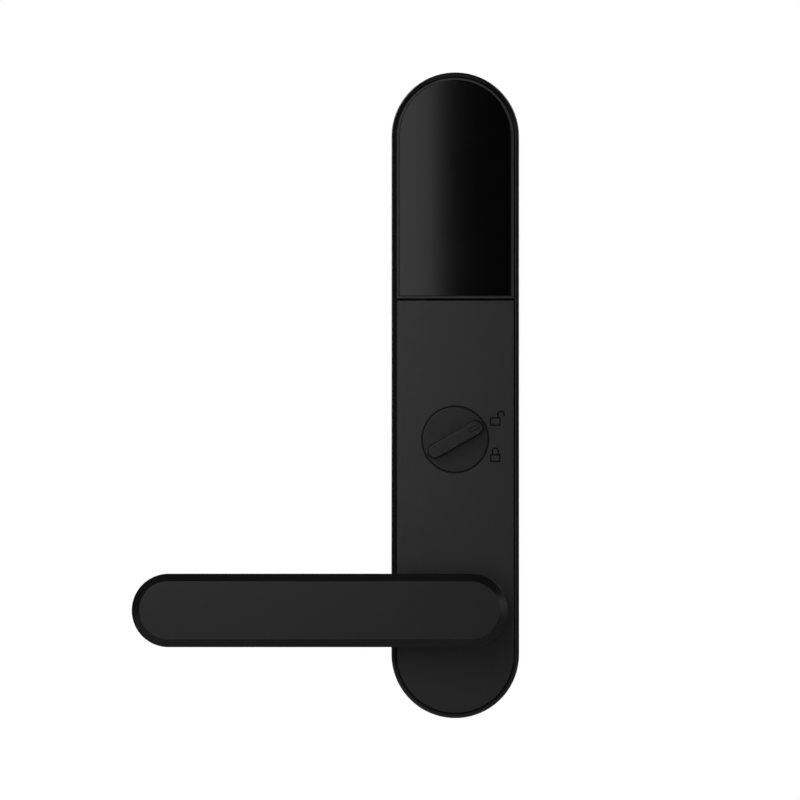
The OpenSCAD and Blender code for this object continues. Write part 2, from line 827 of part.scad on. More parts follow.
module control_board() {
    color("#1f4a34") front() difference() {
        block([-board_w / 2, board_y, board_z], [board_w / 2, board_y + board_l, board_top]);
        for (at = board_post_at) rod(at, 1.3, board_z - 1, board_top + 1);
    }
}

module board_screws() {
    color("#8d9094") front() screws(board_post_at, 3.2, board_top, 1.1, 2.1, 1.3);
}

module processor_module() {
    color("#b8bbbf") front() {
        block([-6, 142, board_top], [14, 160, board_top + 0.8]);
        block([-4.5, 143, board_top + 0.8 - e], [12.5, 155, board_top + 2.8]);
    }
}

module driver_chip() {
    color("#151515") front()
        block([-15, 131, board_top], [-8, 138, board_top + 1.2]);
}

module capacitors() {
    color("#23252b") front() for (y = [145, 153]) difference() {
        rod([-13.5, y], 3.2, board_top, board_top + 8);
        rod([-13.5, y], 2.5, board_top + 7.7, board_top + 9);
    }
}

module beeper() {
    color("#18181a") front() difference() {
        rod([13.5, 134.5], 5, board_top, board_top + 4.5);
        rod([13.5, 134.5], 1, board_top + 3, board_top + 5);
    }
}

// A shrouded socket whose mouth points along -Y, or along +Y when turned
module socket(at, w, l, h) {
    translate([at.x, at.y, board_top]) difference() {
        block([-w / 2, 0, 0], [w / 2, l, h]);
        block([-w / 2 + 0.8, -1, 0.8], [w / 2 - 0.8, l - 1.2, h - 0.8]);
    }
}

module cable_socket() {
    color("#e8e4da") front() socket([0, board_y + 0.5], 13, 6, 5);
}

module motor_socket() {
    color("#e8e4da") front() block([-15, 121.5, board_top], [-9, 126.5, board_top + 4]);
}

module battery_socket() {
    color("#e8e4da") front() block([-13, 158.5, board_top], [-7, 163.5, board_top + 4]);
}

module radio_module() {
    color("#27537a") front() difference() {
        union() {
            block([-12, 245, 7], [12, 261, 8.2]);
            block([-7, 250, 8.2 - e], [9, 260, 10.2]);
        }
        for (at = radio_peg_at) rod(at, 1, 6, 9);
    }
}

// ---- Batteries ----

module battery_tray() {
    color("#2c2d2f") front() difference() {
        block([-tray_w / 2, tray_y, chamber_z], [tray_w / 2, tray_y + tray_l, tray_top]);
        block([-tray_w / 2 + tray_wall, tray_y + tray_wall, chamber_z + tray_floor],
            [tray_w / 2 - tray_wall, tray_y + tray_l - tray_wall, tray_top + 1]);
        for (y = [tray_y + 16, tray_y + 46]) rod([0, y], 1.1, chamber_z - 1, chamber_z + 2);
    }
}

module tray_screws() {
    color("#8d9094") front() screws([[0, tray_y + 16], [0, tray_y + 46]], floor_z + 0.2,
        chamber_z + tray_floor, 0.9, 1.9, 1.1);
}

// Cells stand side by side, with their studs up and down by turns
function cell_x(i) = (i - 2.5) * cell_pitch;
function stud_up(i) = i % 2 == 1;

module battery(i) {
    flip = stud_up(i) ? 0 : 180;
    y = stud_up(i) ? bay_hi - touch - cell_l : bay_lo + touch + cell_l;
    color("#3d4a52") front() translate([cell_x(i), y, cell_z]) rotate([-90 + flip, 0, 0]) {
        rotate_extrude() polygon([[0, 0], [cell_d / 2 - 0.6, 0], [cell_d / 2, 0.6],
            [cell_d / 2, cell_l - stud_l - 0.6], [cell_d / 2 - 0.6, cell_l - stud_l],
            [2.7, cell_l - stud_l], [2.7, cell_l], [0, cell_l]]);
    }
}

module contact_plates() {
    z0 = chamber_z + tray_floor + 1;
    half = 5.5;
    module tab(i, k, y) {
        block([cell_x(i) - half, y, z0], [cell_x(k) + half, y + contact_t, tray_top - 0.5]);
    }
    color("#c4c6c8") front() {
        tab(1, 2, bay_lo - contact_t);
        tab(3, 4, bay_lo - contact_t);
        tab(1, 1, bay_hi);
        tab(2, 3, bay_hi);
        tab(4, 4, bay_hi);
    }
}

module contact_springs() {
    room = bay_hi - bay_lo - cell_l - touch;
    wire = 0.8;
    turns = 3;
    pitch = (room - wire - 0.3) / turns;
    color("#d2d4d6") front() for (i = [1:4]) {
        up = stud_up(i);
        y = up ? bay_lo + wire / 2 : bay_hi - wire / 2;
        translate([cell_x(i), y, cell_z]) rotate([up ? -90 : 90, 0, 0])
            coil(4.6, 2.8, wire, turns, pitch);
    }
}

module battery_lead() {
    color("#7a1f1c") front() lead(battery_lead_route, lead_r);
}

module housing_magnets() {
    color("#c4c6c8") front()
        for (at = magnet_at) rod(at, magnet_r, magnet_z, magnet_z + magnet_t);
}

// ---- Battery cover ----

module battery_cover() {
    inset = 1.35;
    color("#2a2a2b") front() difference() {
        union() {
            cover_shell(seam_h, top_arc + r_out);
            for (at = magnet_at) rod(at, magnet_r + 1, 18.6, plate_back + e);
        }
        for (at = magnet_at) rod(at, magnet_r, 18, plate_back);
        window(inset, face_z - 1.4, face_z + 1);
    }
}

// The window's outline, set in from the cover's edge
module window(inset, z0, z1) {
    r = r_plate - inset;
    difference() {
        oblong_slab(r, z0, z1, seam_h, top_arc);
        block([-body_w, seam_h - body_w, z0 - 1], [body_w, seam_h + inset, z1 + 1]);
    }
}

module cover_glass() {
    color("#0c0c0d") front() window(1.4, face_z - 1.4, face_z - 0.05);
}

module cover_magnets() {
    color("#c4c6c8") front()
        for (at = magnet_at) rod(at, magnet_r, plate_back - 2.2, plate_back);
}

housing();
mounting_plate();
front_plate();
seam_seal();
pictogram_inlays();
front_plate_screws();
housing_lock_screw();
lever_bush();
thumbturn_rear_bush();
thumbturn_front_bush();
gearbox_bracket();
gearbox_screws();
idler_axle();
motor();
motor_clamp();
motor_clamp_screws();
motor_lead();
control_board();
board_screws();
processor_module();
driver_chip();
capacitors();
beeper();
cable_socket();
motor_socket();
battery_socket();
radio_module();
battery_tray();
tray_screws();
for (i = [1:4]) {
    battery(i);
}
contact_plates();
contact_springs();
battery_lead();
housing_magnets();
spring_cup();
spring_cup_cover();
return_spring();
spring_cup_screws();
lever();
spindle();
lever_hub();
grub_screw();
lever_circlip();
thumbturn_knob();
indicator_inlay();
thumbturn_shaft();
turn_gear();
tailpiece();
shaft_circlip();
idler_gear();
motor_pinion();
motor_shaft();
battery_cover();
cover_glass();
cover_magnets();
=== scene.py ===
# %% [markdown]
# # A black smart lock for the room side of a door
#
# The CAD model holds every part of this lock in its true place. This lesson dresses it. The
# lever, the thumbturn, the glossy window, the cells and the springs are rebuilt as smooth
# numpy surfaces, and every part gets a procedural finish. The lock is drawn as it hangs on
# the door: X runs across, Z runs up and the front faces -Y. Sizes are in mm until the last
# moment, when they become the metres of the shared frame.

# %% Load the frame
import json
import math
import bmesh
import bpy
import numpy as np
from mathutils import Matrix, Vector


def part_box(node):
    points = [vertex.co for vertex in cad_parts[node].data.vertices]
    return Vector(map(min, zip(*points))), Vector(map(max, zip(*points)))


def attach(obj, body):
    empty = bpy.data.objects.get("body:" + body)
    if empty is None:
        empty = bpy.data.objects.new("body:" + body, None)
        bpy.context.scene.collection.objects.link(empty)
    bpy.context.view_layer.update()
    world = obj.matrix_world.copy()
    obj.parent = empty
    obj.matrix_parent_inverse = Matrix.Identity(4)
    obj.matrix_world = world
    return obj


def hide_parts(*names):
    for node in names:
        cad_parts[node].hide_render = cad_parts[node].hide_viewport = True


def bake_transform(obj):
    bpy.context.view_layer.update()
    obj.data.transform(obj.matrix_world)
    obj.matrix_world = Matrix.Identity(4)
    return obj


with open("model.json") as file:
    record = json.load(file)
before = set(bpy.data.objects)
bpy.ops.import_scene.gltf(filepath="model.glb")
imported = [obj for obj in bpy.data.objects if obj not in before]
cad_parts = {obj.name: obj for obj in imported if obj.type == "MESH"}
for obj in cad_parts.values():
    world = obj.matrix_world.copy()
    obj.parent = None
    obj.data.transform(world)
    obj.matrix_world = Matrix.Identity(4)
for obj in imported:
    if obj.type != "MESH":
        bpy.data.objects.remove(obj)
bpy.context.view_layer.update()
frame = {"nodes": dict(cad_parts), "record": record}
MM = 0.001


def box_mm(node):
    """A CAD node's lowest and highest corners in mm, each as across, deep and up."""
    low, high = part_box(node)
    return np.array(low) / MM, np.array(high) / MM


# %% [markdown]
# ## Camera
#
# The lock is looked at square on through a very long lens from 12 m away. So it shows almost
# no perspective, and both sides of the rim look equally wide. An orthographic camera would
# do the same, but this one also frames the other views well.

# %% Place the camera
VIEW_WIDTH = 0.432
VIEW_CENTRE = (-0.02986, 0.1133)
FACE_OUT = 0.023
REACH = 12.0
lens = bpy.data.cameras.new("long_lens")
lens.sensor_width = 36
lens.lens = lens.sensor_width * REACH / VIEW_WIDTH
lens.clip_end = 40
camera = bpy.data.objects.new("long_lens", lens)
camera.location = (VIEW_CENTRE[0], -FACE_OUT - REACH, VIEW_CENTRE[1])
camera.rotation_euler = (math.pi / 2, 0, 0)
bpy.context.scene.collection.objects.link(camera)
bpy.context.scene.camera = camera
print("focal length", round(lens.lens), "mm")

# %% [markdown]
# ## The room
#
# A black thing is drawn by what it reflects. Here the room looks white to the camera but is
# dim all round, so the bevels and the rim, which look sideways, stay nearly black and only
# the faces that look forward pick up light. The Light Path node tells the two apart.


# %% Make the room
def add(tree, kind, **settings):
    """A node of the kind in the tree, with its plain settings."""
    node = tree.nodes.new(kind)
    for key, value in settings.items():
        setattr(node, key, value)
    return node


ROOM_SEEN = 1.0
ROOM_FELT = 0.009
bpy.context.scene.view_settings.view_transform = "Standard"
world = bpy.data.worlds.new("studio")
bpy.context.scene.world = world
world.use_nodes = True
room = world.node_tree
room.nodes.clear()
path = add(room, "ShaderNodeLightPath")
pick = add(room, "ShaderNodeMixShader")
room.links.new(path.outputs["Is Camera Ray"], pick.inputs[0])
for number, strength in ((1, ROOM_FELT), (2, ROOM_SEEN)):
    backdrop = add(room, "ShaderNodeBackground")
    backdrop.inputs["Color"].default_value = (1, 1, 1, 1)
    backdrop.inputs["Strength"].default_value = strength
    room.links.new(backdrop.outputs[0], pick.inputs[number])
room.links.new(pick.outputs[0], add(room, "ShaderNodeOutputWorld").inputs["Surface"])
print("room brightness", ROOM_SEEN, "seen and", ROOM_FELT, "felt")

# %% [markdown]
# A tall soft panel stands just in front of the left half of the lock. The glossy window
# mirrors it on the left and the dim room on the right, and its slightly rough surface turns
# the panel's edge into a smooth gradient. Two low panels light the lever's face, and a key
# light at the upper left throws the soft shadows of the lever and the thumbturn. A small lamp
# above catches the top of the rim, and two behind the lock keep its sides and back readable.


# %% Hang the lights
def soft_light(name, place, target, width, height, brightness):
    """A rectangular light that faces target; its power is brightness times area times pi."""
    data = bpy.data.lights.new(name, "AREA")
    data.shape = "RECTANGLE"
    data.size = width
    data.size_y = height
    data.energy = brightness * width * height * math.pi
    lamp = bpy.data.objects.new(name, data)
    way = Vector(target) - Vector(place)
    lamp.location = place
    lamp.rotation_euler = way.to_track_quat("-Z", "Y").to_euler()
    lamp.visible_camera = False
    bpy.context.scene.collection.objects.link(lamp)


LOCK = (0, 0, 0.1)
soft_light("front_panel", (-0.389, -0.52, 0.34), (-0.389, 0, 0.34), 0.76, 0.56, 1.04)
soft_light("front_low", (-0.42, -0.52, -0.02), (-0.42, 0, -0.02), 0.7, 0.16, 0.41)
soft_light("front_near", (0, -0.52, -0.02), (0, 0, -0.02), 0.2, 0.16, 0.36)
soft_light("key", (-0.75, -1.3, 0.95), LOCK, 0.8, 0.8, 1.0)
soft_light("right_front", (1.1, -1.1, 0.35), LOCK, 0.5, 1.2, 1.2)
soft_light("right_side", (1.5, -0.1, 0.3), LOCK, 0.5, 0.8, 0.85)
soft_light("top_edge", (0, 0, 0.37), (0, 0, 0.25), 0.12, 0.06, 0.18)
soft_light("rear_left", (-0.6, 1.5, 0.5), LOCK, 0.6, 0.9, 2.2)
soft_light("rear_right", (0.6, 1.5, 0.5), LOCK, 0.6, 0.9, 1.4)

# %% [markdown]
# The floor is a plain pale sheet, low enough to stay out of the square-on view. It bounces a
# little light up under the lock. The camera sees it mostly at one even brightness, so that
# the black lock stands out from the side and from behind, where few lamps reach the floor.

# %% Lay the floor
FLOOR_UP = -0.16
FLOOR_HALF = 3.0
FLOOR_PALE = 0.85
FLOOR_MATT = 0.65
EVEN_SHARE = 0.85
corners = FLOOR_HALF * np.array([(-1, -1, 0), (1, -1, 0), (1, 1, 0), (-1, 1, 0)], float)
floor_mesh = bpy.data.meshes.new("floor")
floor_mesh.from_pydata((corners + (0, 0, FLOOR_UP)).tolist(), [], [(0, 1, 2, 3)])
floor = bpy.data.objects.new("floor", floor_mesh)
bpy.context.scene.collection.objects.link(floor)
print("floor at", FLOOR_UP, "m")

# %% Paint the floor
for packed in list(bpy.data.materials):
    bpy.data.materials.remove(packed)
sheet = bpy.data.materials.new("floor_sheet")
sheet.use_nodes = True
tree = sheet.node_tree
tree.nodes.clear()
matt = add(tree, "ShaderNodeBsdfDiffuse")
matt.inputs["Color"].default_value = (FLOOR_MATT, FLOOR_MATT, FLOOR_MATT, 1)
pale = add(tree, "ShaderNodeEmission")
pale.inputs["Color"].default_value = (FLOOR_PALE, FLOOR_PALE, FLOOR_PALE, 1)
share = add(tree, "ShaderNodeMath", operation="MULTIPLY")
share.inputs[1].default_value = EVEN_SHARE
pick = add(tree, "ShaderNodeMixShader")
out = add(tree, "ShaderNodeOutputMaterial")
tree.links.new(add(tree, "ShaderNodeLightPath").outputs["Is Camera Ray"], share.inputs[0])
tree.links.new(share.outputs[0], pick.inputs[0])
tree.links.new(matt.outputs[0], pick.inputs[1])
tree.links.new(pale.outputs[0], pick.inputs[2])
tree.links.new(pick.outputs[0], out.inputs["Surface"])
floor_mesh.materials.append(sheet)
print("the packed model's own materials are gone, and the floor has", sheet.name)

# %% [markdown]
# ## Layers for the finishes
#
# Each finish is one Principled shader fed by a few shared node groups, which work like a
# painter's layers. They all read Object coordinates, so a pattern has its real size: a noise
# whose scale is 5000 per metre has specks of about a fifth of a millimetre.


# %% Helpers for node trees
def start_group(name, inputs, outputs):
    """A shader node group with number inputs and their defaults, and number outputs."""
    group = bpy.data.node_groups.new(name, "ShaderNodeTree")
    for label, value in inputs.items():
        socket = group.interface.new_socket(label, in_out="INPUT", socket_type="NodeSocketFloat")
        socket.default_value = value
    for label in outputs:
        group.interface.new_socket(label, in_out="OUTPUT", socket_type="NodeSocketFloat")
    return group, add(group, "NodeGroupInput").outputs, add(group, "NodeGroupOutput").inputs


def noise(tree, scale, detail=2.0, squash=(1, 1, 1)):
    """A noise on Object coordinates; squash stretches it along the axes with small values."""
    place = add(tree, "ShaderNodeTexCoord")
    mapping = add(tree, "ShaderNodeMapping")
    mapping.inputs["Scale"].default_value = squash
    texture = add(tree, "ShaderNodeTexNoise")
    texture.inputs["Detail"].default_value = detail
    tree.links.new(place.outputs["Object"], mapping.inputs["Vector"])
    tree.links.new(mapping.outputs["Vector"], texture.inputs["Vector"])
    if isinstance(scale, bpy.types.NodeSocket):
        tree.links.new(scale, texture.inputs["Scale"])
    else:
        texture.inputs["Scale"].default_value = scale
    return texture.outputs["Fac"]


def math_node(tree, operation, a, b=0.0, clamp=False):
    """The result of a Math node on two sockets or numbers."""
    node = add(tree, "ShaderNodeMath", operation=operation, use_clamp=clamp)
    for slot_number, value in enumerate((a, b)):
        if isinstance(value, bpy.types.NodeSocket):
            tree.links.new(value, node.inputs[slot_number])
        else:
            node.inputs[slot_number].default_value = value
    return node.outputs[0]


def remap(tree, value, low, high, to_low=0.0, to_high=1.0):
    """The value moved from the range low to high into another range, and held there."""
    node = add(tree, "ShaderNodeMapRange")
    tree.links.new(value, node.inputs["Value"])
    for label, number in zip(("From Min", "From Max", "To Min", "To Max"),
                             (low, high, to_low, to_high)):
        if isinstance(number, bpy.types.NodeSocket):
            tree.links.new(number, node.inputs[label])
        else:
            node.inputs[label].default_value = number
    return node.outputs["Result"]


# %% [markdown]
# Grain is the fine orange-peel of a powder coat or the spark-eroded skin of a mould. Two
# noises of nearby sizes are added, so that no even pattern shows. Its height drives a Bump
# node, and its mottle shifts the colour a little.

# %% Grain group
grain_group, given, result = start_group("grain", {"Scale": 4000.0}, ["Height", "Mottle"])
fine = noise(grain_group, given["Scale"], 1.0)
coarse = noise(grain_group, math_node(grain_group, "MULTIPLY", given["Scale"], 0.37), 2.0)
both = math_node(grain_group, "ADD", fine, coarse)
grain_group.links.new(math_node(grain_group, "MULTIPLY", both, 0.5), result["Height"])
grain_group.links.new(remap(grain_group, coarse, 0.35, 0.65), result["Mottle"])
print("layer:", grain_group.name)

# %% [markdown]
# Hands leave soft patches where the surface is a little smoother and shinier. A low, slow
# noise makes them, and a finer one breaks up their edges.

# %% Handling group
handling_group, given, result = start_group("handling", {"Scale": 30.0}, ["Patch"])
slow = noise(handling_group, given["Scale"], 4.0)
quick = noise(handling_group, math_node(handling_group, "MULTIPLY", given["Scale"], 9.0), 3.0)
blend = math_node(handling_group, "ADD", slow, math_node(handling_group, "MULTIPLY", quick, 0.35))
handling_group.links.new(remap(handling_group, blend, 0.5, 0.85), result["Patch"])
print("layer:", handling_group.name)

# %% [markdown]
# An edge is where the coat wears thin first. The Bevel node looks a short way round each
# point and bends the normal near an edge, so where the bent normal and the true one part,
# there is an edge. Noise then breaks the line up.

# %% Edge group
EDGE_WIDTH = 0.3 * MM
edge_group, given, result = start_group("edge_wear", {"Width": EDGE_WIDTH, "Amount": 0.5}, ["Edge"])
bevel = add(edge_group, "ShaderNodeBevel", samples=4)
edge_group.links.new(given["Width"], bevel.inputs["Radius"])
geometry = add(edge_group, "ShaderNodeNewGeometry")
agree = add(edge_group, "ShaderNodeVectorMath", operation="DOT_PRODUCT")
edge_group.links.new(bevel.outputs["Normal"], agree.inputs[0])
edge_group.links.new(geometry.outputs["Normal"], agree.inputs[1])
line = remap(edge_group, agree.outputs["Value"], 0.98, 0.8)
broken = remap(edge_group, noise(edge_group, 260.0, 4.0), 0.35, 0.7, 0.25, 1.0)
worn = math_node(edge_group, "MULTIPLY", line, broken)
edge_group.links.new(math_node(edge_group, "MULTIPLY", worn, given["Amount"], True), result["Edge"])
print("layer:", edge_group.name)

# %% [markdown]
# Drawn, ground and rolled metal has fine lines all one way. A noise that is squeezed across
# the lines and stretched along them makes these, once for lines that run up the part and
# once for lines that run across it.


# %% Line groups
def line_group(name, squash):
    """A group of fine lines along the axis that squash makes small."""
    group, given, result = start_group(name, {"Scale": 3000.0}, ["Height", "Streak"])
    lines = noise(group, given["Scale"], 3.0, squash)
    group.links.new(lines, result["Height"])
    group.links.new(remap(group, lines, 0.3, 0.7), result["Streak"])
    return group


lines_up = line_group("lines_up", (1, 1, 0.02))
lines_deep = line_group("lines_deep", (1, 0.02, 1))
print("layers:", lines_up.name, "and", lines_deep.name)

# %% [markdown]
# ## One recipe for most finishes
#
# A finish is told its two colours, its two roughnesses, its grain and how far its edges
# wear. Colour runs between the two by the mottle, roughness by the handled patches, and the
# worn edges are mixed in last. Everything that is the same all over the part is set on the
# shader itself. A Bevel node rounds the shading of the CAD's sharp edges by a hair, because
# no real edge is perfectly sharp.


# %% The recipe
def layer(tree, group, **values):
    """Places a shared group in a material with this material's own values."""
    node = add(tree, "ShaderNodeGroup", node_tree=group)
    for label, value in values.items():
        node.inputs[label].default_value = value
    return node.outputs


def mix_colour(tree, mask, low, high):
    """A colour between low and high, each a colour or a socket, by the mask."""
    node = add(tree, "ShaderNodeMix", data_type="RGBA")
    tree.links.new(mask, node.inputs[0])
    for socket, value in ((node.inputs[6], low), (node.inputs[7], high)):
        if isinstance(value, bpy.types.NodeSocket):
            tree.links.new(value, socket)
        else:
            socket.default_value = (*value, 1)
    return node.outputs[2]


def grey(level):
    """A neutral colour of that brightness."""
    return (level, level, level)


def finish(name, low, high, roughness, grain=4000.0, depth=0.01, metal=0.0, worn=None,
           wear=0.5, round_off=0.00025, patches=30.0, lines=None, rough_shift=0.06):
    """A material whose colour and roughness run between two values, with grain or lines."""
    material = bpy.data.materials.new(name)
    material.use_nodes = True
    tree = material.node_tree
    shader = tree.nodes["Principled BSDF"]
    shader.inputs["Metallic"].default_value = metal
    skin = layer(tree, lines or grain_group, Scale=grain)
    colour = mix_colour(tree, skin[1], low, high)
    if worn:
        edge = layer(tree, edge_group, Width=EDGE_WIDTH, Amount=wear)
        colour = mix_colour(tree, edge["Edge"], colour, worn)
    tree.links.new(colour, shader.inputs["Base Color"])
    patch = layer(tree, handling_group, Scale=patches)
    rough = remap(tree, patch["Patch"], 0, 1, roughness, roughness - rough_shift)
    tree.links.new(rough, shader.inputs["Roughness"])
    bump = add(tree, "ShaderNodeBump")
    bump.inputs["Strength"].default_value = 1.0
    bump.inputs["Distance"].default_value = depth * MM
    tree.links.new(skin["Height"], bump.inputs["Height"])
    if round_off:
        soft_edge = add(tree, "ShaderNodeBevel", samples=4)
        soft_edge.inputs["Radius"].default_value = round_off
        tree.links.new(soft_edge.outputs["Normal"], bump.inputs["Normal"])
    tree.links.new(bump.outputs["Normal"], shader.inputs["Normal"])
    return material, shader


# %% [markdown]
# ## The outer finishes
#
# The housing, the lever and the thumbturn are aluminium under a fine black powder coat. The
# front plate and the battery cover are moulded in black with a dull spark-eroded skin, just
# a shade rougher. The window is black acrylic with a hard gloss that is not quite a mirror.

# %% Black finishes
finishes = {}


def keep(made):
    """Files a finish under its name and returns its shader for extra settings."""
    finishes[made[0].name] = made[0]
    return made[1]


keep(finish("satin_black_metal", grey(0.008), grey(0.011), 0.39, 5200.0, 0.006,
            worn=grey(0.03), wear=0.5))
shell = keep(finish("matte_black_shell", grey(0.009), grey(0.012), 0.43, 4200.0, 0.008,
                    worn=grey(0.03), wear=0.6))
shell.inputs["Specular IOR Level"].default_value = 0.67
window = keep(finish("gloss_black_window", grey(0.0008), grey(0.0012), 0.108, 900.0, 0.0002,
                     patches=22.0, round_off=0, rough_shift=0.015))
window.inputs["IOR"].default_value = 1.5
# mark_black is a near-black with little gloss. In the grooves of the padlock marks it is their dark
# print and also painted shade of the grooves. On the seal in the seam between the battery cover and
# the front plate it is painted shade of the gap.
mark_and_shade_paint = keep(finish("mark_black", grey(0.002), grey(0.003), 0.7, 4200.0, 0.008))
mark_and_shade_paint.inputs["Specular IOR Level"].default_value = 0.12
print("finishes:", sorted(finishes))

# %% [markdown]
# ## The inner finishes
#
# Behind the cover there is zinc-plated steel, sintered bronze, white gear plastic, cells in
# printed sleeves and a circuit board. Metals get lines the way they were rolled or turned,
# and moulded plastics get grain, each with its own shade and gloss.

# %% Metals and plastics
keep(finish("zinc_steel", (0.36, 0.37, 0.39), (0.50, 0.51, 0.52), 0.40, 700.0, 0.004,
            metal=1.0, worn=(0.62, 0.62, 0.62), patches=45.0, rough_shift=0.12))
keep(finish("screw_steel", (0.42, 0.43, 0.44), (0.56, 0.56, 0.57), 0.32, 4200.0, 0.003,
            metal=1.0, worn=(0.7, 0.7, 0.7)))
keep(finish("black_oxide_steel", grey(0.035), grey(0.055), 0.42, 3600.0, 0.004, metal=0.6,
            worn=grey(0.16)))
keep(finish("ground_steel", (0.46, 0.46, 0.47), (0.62, 0.62, 0.63), 0.28, 2600.0, 0.003,
            metal=1.0, worn=(0.74, 0.74, 0.74), lines=lines_deep))
keep(finish("spring_steel", (0.34, 0.34, 0.36), (0.48, 0.48, 0.50), 0.30, 3000.0, 0.002,
            metal=1.0, round_off=0))
keep(finish("bronze_bush", (0.36, 0.22, 0.10), (0.46, 0.30, 0.15), 0.45, 3800.0, 0.006,
            metal=0.9, worn=(0.6, 0.43, 0.24)))
keep(finish("white_gear_plastic", (0.68, 0.67, 0.62), (0.76, 0.75, 0.71), 0.42, 3000.0,
            0.003, worn=(0.8, 0.8, 0.77)))
keep(finish("bracket_plastic", grey(0.035), grey(0.045), 0.5, 3200.0, 0.008, worn=grey(0.09)))
keep(finish("motor_can", (0.40, 0.41, 0.42), (0.52, 0.53, 0.54), 0.34, 2600.0, 0.003,
            metal=1.0, worn=(0.66, 0.66, 0.66), lines=lines_deep))
keep(finish("chip_black", grey(0.018), grey(0.026), 0.6, 6000.0, 0.006))
keep(finish("shield_can", (0.52, 0.52, 0.53), (0.64, 0.64, 0.65), 0.3, 2600.0, 0.002,
            metal=1.0, worn=(0.75, 0.75, 0.75), lines=lines_up))
keep(finish("socket_plastic", (0.60, 0.57, 0.48), (0.68, 0.65, 0.56), 0.45, 4200.0, 0.004,
            worn=(0.74, 0.72, 0.65)))
keep(finish("tray_plastic", grey(0.028), grey(0.036), 0.52, 3000.0, 0.01, worn=grey(0.075)))
keep(finish("nickel_contact", (0.58, 0.56, 0.52), (0.70, 0.68, 0.64), 0.26, 2600.0, 0.002,
            metal=1.0, worn=(0.8, 0.79, 0.76), lines=lines_up))
keep(finish("magnet_nickel", (0.55, 0.54, 0.52), (0.66, 0.65, 0.63), 0.2, 2400.0, 0.002,
            metal=1.0, worn=(0.75, 0.75, 0.74)))
lead_shader = keep(finish("lead_sleeve", (0.20, 0.012, 0.010), (0.26, 0.018, 0.014), 0.38,
                          2600.0, 0.006, round_off=0))
lead_shader.inputs["Coat Weight"].default_value = 0.15
print("finishes so far:", len(finishes))

# %% [markdown]
# ## Circuit boards
#
# A board is glass cloth under solder mask, with copper tracks that show as slightly raised,
# lighter lines. A Brick texture with offset rows gives short straight runs like tracks, and
# a second one turned a quarter gives the runs the other way. Both sit on the board's own
# millimetre scale.


# %% The board finish
def board_finish(name, mask_colour, track_colour):
    """Solder mask over tracks: two crossed Brick patterns raise and lighten thin lines."""
    material, shader = finish(name, mask_colour, mask_colour, 0.34, 2600.0, 0.002)
    tree = material.node_tree
    place = add(tree, "ShaderNodeTexCoord")
    tracks = None
    for turn, size in ((0.0, 520.0), (math.pi / 2, 390.0)):
        mapping = add(tree, "ShaderNodeMapping")
        mapping.inputs["Rotation"].default_value = (math.pi / 2, turn, 0)
        brick = add(tree, "ShaderNodeTexBrick", offset=0.37, squash=0.6)
        brick.inputs["Scale"].default_value = size
        brick.inputs["Mortar Size"].default_value = 0.035
        brick.inputs["Mortar Smooth"].default_value = 0.2
        brick.inputs["Brick Width"].default_value = 3.4
        brick.inputs["Row Height"].default_value = 0.42
        tree.links.new(place.outputs["Object"], mapping.inputs["Vector"])
        tree.links.new(mapping.outputs["Vector"], brick.inputs["Vector"])
        spread = remap(tree, noise(tree, 90.0 + size / 10, 1.0), 0.48, 0.56)
        runs = math_node(tree, "MULTIPLY", brick.outputs["Fac"], spread)
        tracks = runs if tracks is None else math_node(tree, "MAXIMUM", tracks, runs)
    mottle = noise(tree, 900.0, 2.0)
    base = mix_colour(tree, mottle, mask_colour, tuple(1.3 * c for c in mask_colour))
    colour = mix_colour(tree, tracks, base, track_colour)
    tree.links.new(colour, shader.inputs["Base Color"])
    return material, shader


keep(board_finish("board_laminate", (0.006, 0.030, 0.016), (0.020, 0.085, 0.045)))
keep(board_finish("radio_board", (0.006, 0.014, 0.045), (0.020, 0.045, 0.11)))
print("finishes so far:", len(finishes))

# %% [markdown]
# ## The cell sleeve
#
# A cell's sleeve is a printed film: graphite along most of its length and a copper-coloured
# band at the stud end, with a thin pale ring between. The bands follow the sleeve, so they
# read an attribute that runs from 0 at the flat end to 1 at the stud, and the cells can lie
# either way up.

# %% The sleeve finish
sleeve, sleeve_shader = finish("cell_wrap", grey(0.03), grey(0.04), 0.30, 2200.0, 0.003,
                               round_off=0)
keep((sleeve, sleeve_shader))
tree = sleeve.node_tree
along = add(tree, "ShaderNodeAttribute", attribute_name="along").outputs["Fac"]
bands = add(tree, "ShaderNodeValToRGB")
bands.color_ramp.interpolation = "CONSTANT"
BAND_COLOURS = ((0.0, (0.026, 0.028, 0.032)), (0.70, (0.62, 0.60, 0.55)),
                (0.715, (0.42, 0.15, 0.055)), (0.985, (0.026, 0.028, 0.032)))
for number, (start, colour) in enumerate(BAND_COLOURS):
    if number < 2:
        stop = bands.color_ramp.elements[number]
        stop.position = start
    else:
        stop = bands.color_ramp.elements.new(start)
    stop.color = (*colour, 1)
tree.links.new(along, bands.inputs["Fac"])
scuffs = remap(tree, noise(tree, 420.0, 5.0), 0.62, 0.75, 0.0, 0.5)
printed = mix_colour(tree, scuffs, bands.outputs["Color"], (0.16, 0.15, 0.145))
tree.links.new(printed, sleeve_shader.inputs["Base Color"])
sleeve_shader.inputs["Coat Weight"].default_value = 0.3
sleeve_shader.inputs["Coat Roughness"].default_value = 0.12
print("finishes:", len(finishes))

# %% [markdown]
# ## Dress the CAD parts
#
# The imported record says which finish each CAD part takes. Its material slots are filled
# with that finish, and its mesh isn't touched.

# %% Give every CAD part its finish
slot_of = {part["node"]: part["material_slot"] for part in frame["record"]["subparts"]}
for node, obj in frame["nodes"].items():
    made = finishes[slot_of[node]]
    if not obj.data.materials:
        obj.data.materials.append(made)
    for number in range(len(obj.data.materials)):
        obj.data.materials[number] = made
print("CAD parts dressed:", len(frame["nodes"]))

# %% [markdown]
# ## Surfaces from numpy
#
# Each new piece is a grid of points. Going round the piece is one parameter and going along
# its profile is the other, both worked out as whole arrays. Where a row shrinks to a point
# or a line, welding the doubles closes the surface there.


# %% Make a piece from a grid
SHARP = math.radians(32)


